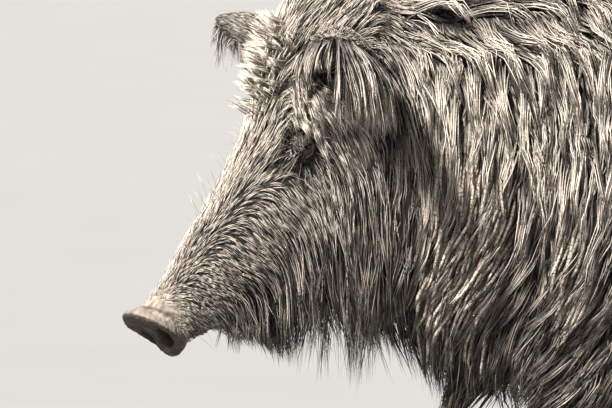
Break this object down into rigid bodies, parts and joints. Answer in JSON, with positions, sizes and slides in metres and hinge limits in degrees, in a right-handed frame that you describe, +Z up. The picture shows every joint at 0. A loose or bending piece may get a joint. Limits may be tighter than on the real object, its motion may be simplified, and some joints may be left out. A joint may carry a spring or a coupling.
{
  "type": "wild boar",
  "caption": "Life-size still model of a wild boar in a long, muddy winter coat, standing with its head lowered and turned a little to its left.",
  "frame": {"origin": "on the floor, under the middle of the animal's box from above", "axes": "+Z up; the animal stands along X with its head towards -X, and its left side faces -Y"},
  "size_m": [1.2912, 0.4098, 0.8402],
  "materials": {
    "coat": "long coarse hair with dried mud",
    "nose": "bare damp skin",
    "hoof": "worn horn",
    "eye": "wet and polished"
  },
  "bodies": {
    "root": {"head": "coat", "lower_jaw": "coat", "ear_left": "coat", "ear_right": "coat", "beard": "coat", "neck": "coat", "trunk": "coat", "tail": "coat", "foreleg_left": "coat", "foreleg_right": "coat", "hindleg_left": "coat", "hindleg_right": "coat", "nose_disc": "nose", "eye_left": "eye", "eye_right": "eye", "hoof_fore_left_outer": "hoof", "hoof_fore_left_inner": "hoof", "hoof_fore_right_outer": "hoof", "hoof_fore_right_inner": "hoof", "hoof_hind_left_outer": "hoof", "hoof_hind_left_inner": "hoof", "hoof_hind_right_outer": "hoof", "hoof_hind_right_inner": "hoof", "dewclaw_fore_left_outer": "hoof", "dewclaw_fore_left_inner": "hoof", "dewclaw_fore_right_outer": "hoof", "dewclaw_fore_right_inner": "hoof", "dewclaw_hind_left_outer": "hoof", "dewclaw_hind_left_inner": "hoof", "dewclaw_hind_right_outer": "hoof", "dewclaw_hind_right_inner": "hoof"}
  },
  "joints": []
}
